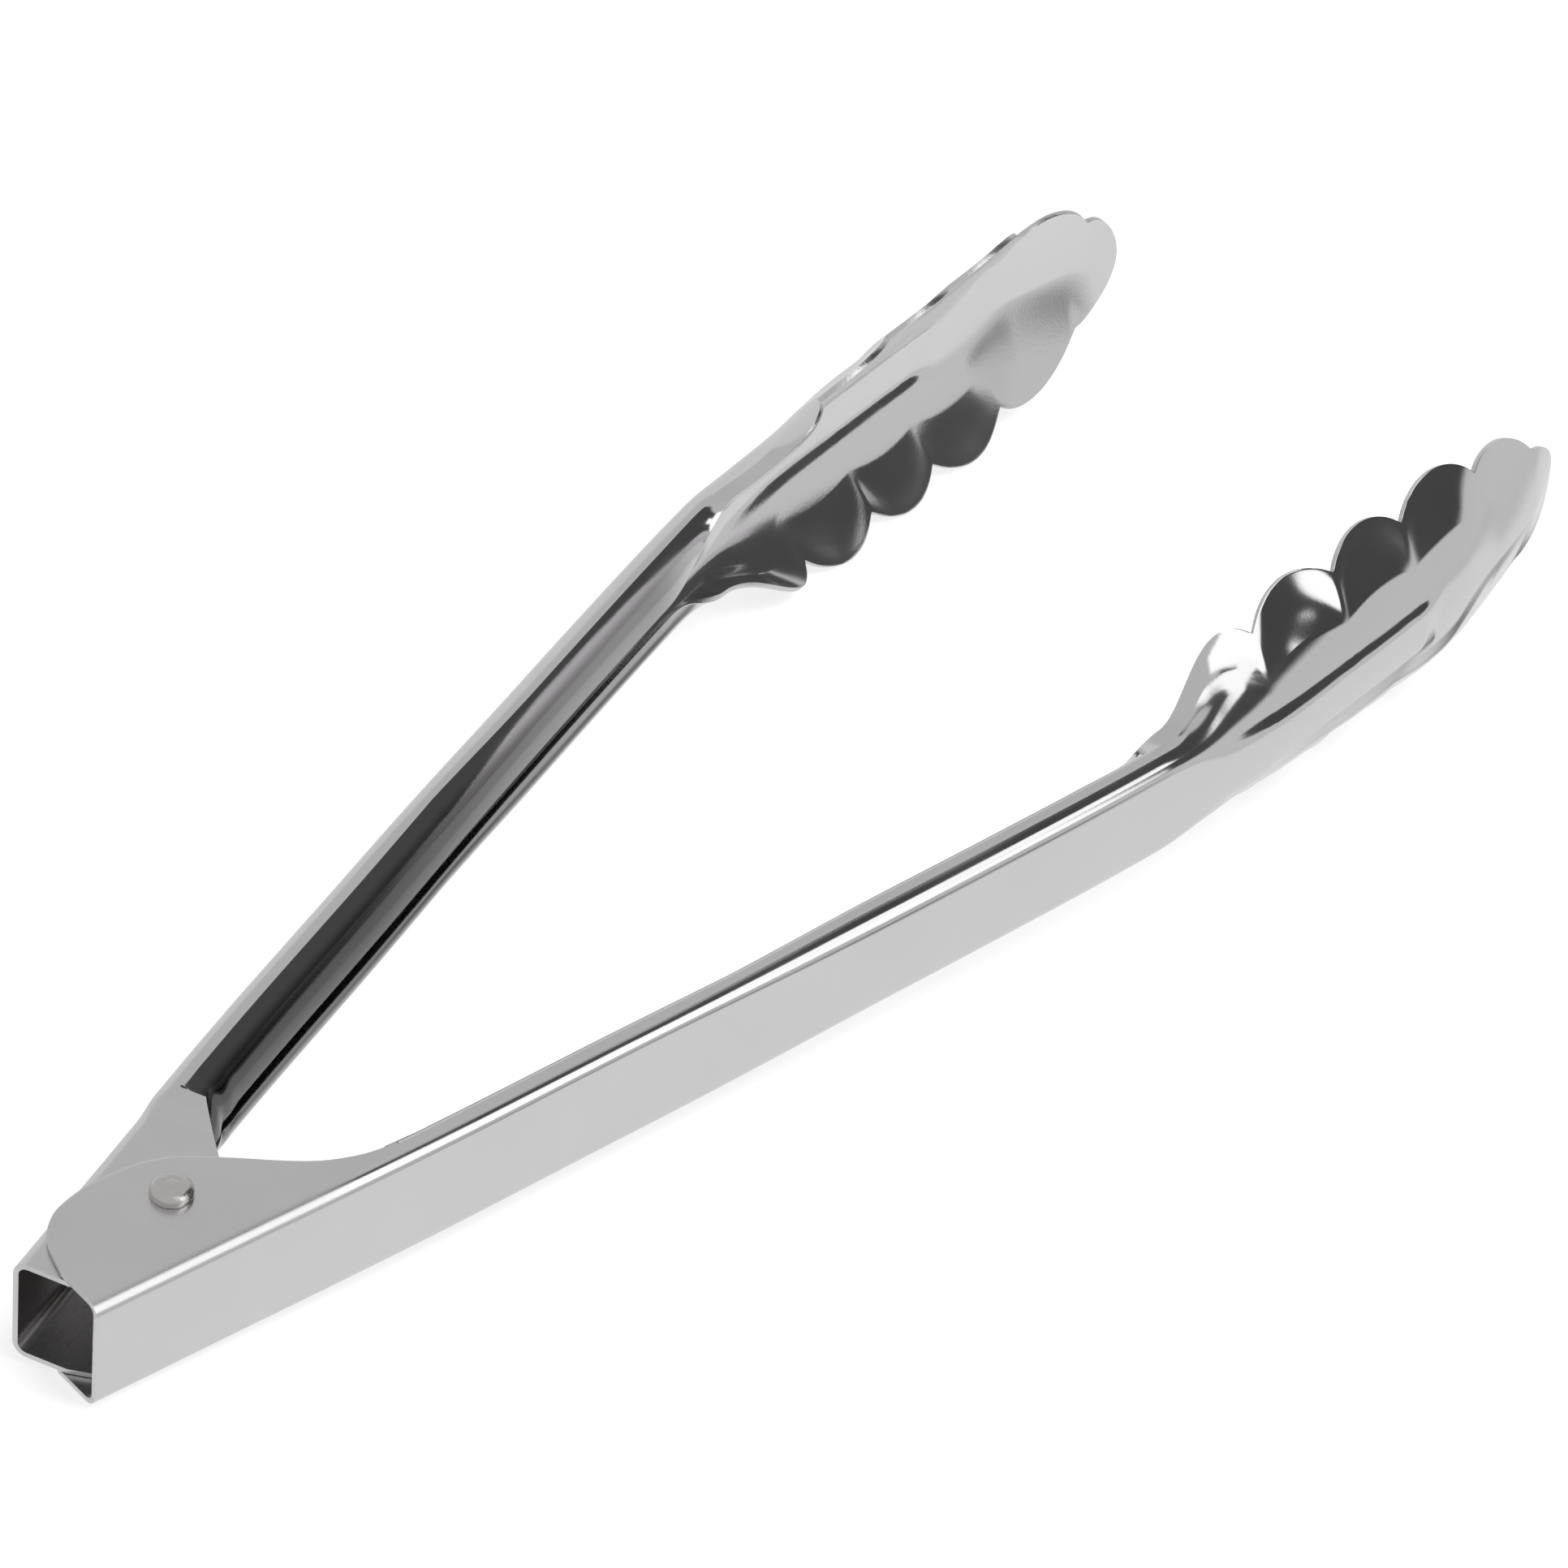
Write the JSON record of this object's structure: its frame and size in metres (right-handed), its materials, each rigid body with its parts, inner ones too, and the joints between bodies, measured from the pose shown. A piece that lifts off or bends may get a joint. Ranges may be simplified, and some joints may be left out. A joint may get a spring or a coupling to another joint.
{
  "type": "spring loaded kitchen tongs",
  "caption": "All-steel kitchen tongs: two channel-section arms with scalloped gripping heads on a riveted hinge, held open by a spring.",
  "frame": {"origin": "on the pivot axis, at the flat face of the formed rivet head", "axes": "+X from the hinge to the tips between the two arms, +Z along the pivot towards the domed rivet head, outer arm on -Y"},
  "size_m": [0.2546, 0.0858, 0.0362],
  "materials": {
    "arm_steel": "polished sheet, satin on the cheeks",
    "rivet_steel": "bright, lightly marked",
    "spring_steel": "drawn wire"
  },
  "bodies": {
    "outer": {"outer_arm": "arm_steel", "pivot_rivet": "rivet_steel", "return_spring": "spring_steel"},
    "inner": {"inner_arm": "arm_steel"}
  },
  "joints": [
    {"name": "squeeze", "type": "hinge", "parent": "outer", "child": "inner", "pos_m": [0, 0, 0.0093], "axis": [0, 0, -1], "range_deg": [0, 17.2], "stiffness_Nm_per_rad": 0.35, "springref_deg": -51.57, "deforming": ["return_spring"]}
  ]
}
